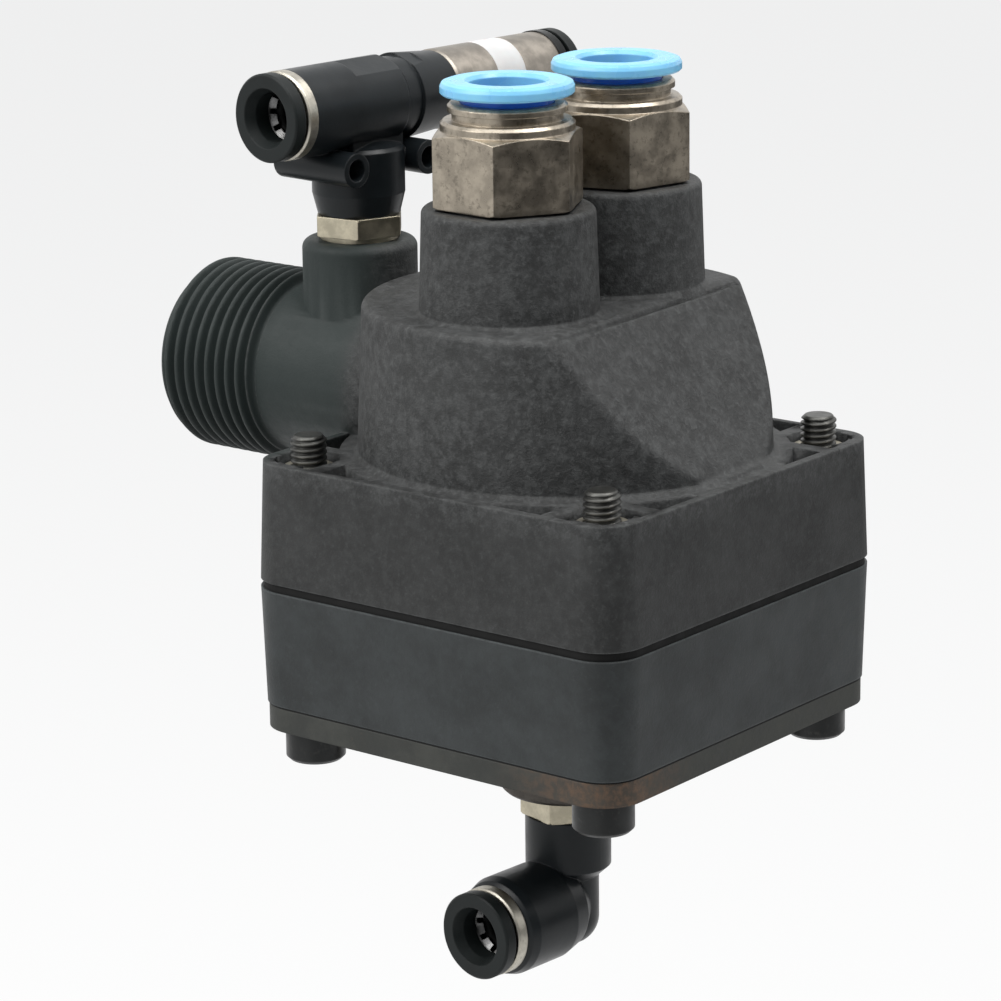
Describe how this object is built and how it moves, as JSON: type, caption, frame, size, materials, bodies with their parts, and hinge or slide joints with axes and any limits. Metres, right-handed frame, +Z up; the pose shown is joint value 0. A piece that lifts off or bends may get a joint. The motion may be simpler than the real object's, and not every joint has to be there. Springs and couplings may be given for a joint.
{
  "type": "pneumatic valve",
  "caption": "Square diaphragm valve with a slant-sided drum, tube inlets on top, a threaded side outlet, a swivelling pilot elbow below and a tee with a check valve.",
  "frame": {"origin": "centre of the outlet pipe's open end, on the pipe's axis", "axes": "-X out of the outlet, +X along the outlet into the valve, +Z up, the way the inlet tubes leave"},
  "size_m": [0.1145, 0.0875, 0.151],
  "materials": {
    "black_cap": "satin",
    "black_collar": "satin",
    "blue_plastic": "gloss",
    "bright_steel": "bright",
    "bush_steel": "black",
    "fitting_plastic": "satin",
    "gasket": "matte",
    "inlet_nickel": "nickel plated",
    "insert_metal": "nickel plated",
    "lower_plastic": "fine grain",
    "nickel": "nickel plated",
    "plate_aluminium": "turned",
    "plate_steel": "thin dark paint, rust showing through at the edges",
    "poppet_plastic": "natural",
    "ring_steel": "satin",
    "rubber_sheet": "matte",
    "screw_steel": "black oxide, worn at the thread",
    "seal_rubber": "matte",
    "sleeve_nickel": "nickel plated",
    "spring_steel": "bright",
    "upper_plastic": "speckled glass-filled grain",
    "white_plastic": "satin"
  },
  "bodies": {
    "housing": {"base_plate": "plate_steel", "base_gasket": "gasket", "lower_body": "lower_plastic", "upper_body": "upper_plastic", "threaded_inserts": "insert_metal", "cap_screws": "screw_steel", "port_bush": "bush_steel", "diaphragm": "rubber_sheet", "return_spring": "spring_steel", "tee_stem": "nickel", "tee_stem_seal": "seal_rubber", "elbow_stem": "nickel", "elbow_stem_seal": "seal_rubber", "front_inlet_fitting": "inlet_nickel", "front_inlet_washer": "seal_rubber", "front_cap_ring": "inlet_nickel", "front_grab_ring": "bright_steel", "front_tube_seal": "seal_rubber", "rear_inlet_fitting": "inlet_nickel", "rear_inlet_washer": "seal_rubber", "rear_cap_ring": "inlet_nickel", "rear_grab_ring": "bright_steel", "rear_tube_seal": "seal_rubber"},
    "disc": {"lower_support_plate": "plate_aluminium", "upper_support_plate": "plate_aluminium", "seat_seal": "seal_rubber", "seal_washer": "bright_steel", "centre_screw": "bright_steel", "centre_nut": "bright_steel"},
    "front_collar": {"front_release_collar": "blue_plastic"},
    "rear_collar": {"rear_release_collar": "blue_plastic"},
    "tee": {"tee_body": "fitting_plastic", "tee_cap_ring": "ring_steel", "tee_grab_ring": "bright_steel", "tee_tube_seal": "seal_rubber", "check_sleeve": "sleeve_nickel", "check_band": "white_plastic", "check_spring": "spring_steel", "check_cap_ring": "black_cap", "check_grab_ring": "bright_steel", "check_tube_seal": "seal_rubber"},
    "tee_collar": {"tee_release_collar": "black_collar"},
    "check_collar": {"check_release_collar": "black_collar"},
    "poppet": {"check_poppet": "poppet_plastic"},
    "elbow": {"elbow_body": "fitting_plastic", "elbow_cap_ring": "ring_steel", "elbow_grab_ring": "bright_steel", "elbow_tube_seal": "seal_rubber"},
    "elbow_collar": {"elbow_release_collar": "black_collar"}
  },
  "joints": [
    {"name": "valve_lift", "type": "slide", "parent": "housing", "child": "disc", "axis": [0, 0, 1], "range_m": [-0.0065, 0], "stiffness_N_per_m": 1500, "springref_m": 0.004, "deforming": ["return_spring", "diaphragm"]},
    {"name": "front_release", "type": "slide", "parent": "housing", "child": "front_collar", "axis": [0, 0, 1], "range_m": [-0.0012, 0], "stiffness_N_per_m": 1200},
    {"name": "rear_release", "type": "slide", "parent": "housing", "child": "rear_collar", "axis": [0, 0, 1], "range_m": [-0.0012, 0], "stiffness_N_per_m": 1200},
    {"name": "tee_swivel", "type": "hinge", "parent": "housing", "child": "tee", "pos_m": [0.03285, 0, 0.0328], "axis": [0, 0, 1], "range_deg": [-35, 130]},
    {"name": "tee_release", "type": "slide", "parent": "tee", "child": "tee_collar", "axis": [-0.0837, -0.9965, 0], "range_m": [-0.0007, 0], "stiffness_N_per_m": 1200},
    {"name": "check_release", "type": "slide", "parent": "tee", "child": "check_collar", "axis": [0.0837, 0.9965, 0], "range_m": [-0.0007, 0], "stiffness_N_per_m": 1200},
    {"name": "check_lift", "type": "slide", "parent": "tee", "child": "poppet", "axis": [0.0837, 0.9965, 0], "range_m": [0, 0.002], "stiffness_N_per_m": 150, "springref_m": -0.002, "deforming": ["check_spring"]},
    {"name": "elbow_swivel", "type": "hinge", "parent": "housing", "child": "elbow", "pos_m": [0.0765, 0, -0.07334], "axis": [0, 0, 1], "continuous": true},
    {"name": "elbow_release", "type": "slide", "parent": "elbow", "child": "elbow_collar", "axis": [-0.0785, -0.9969, 0], "range_m": [-0.0007, 0], "stiffness_N_per_m": 1200}
  ]
}
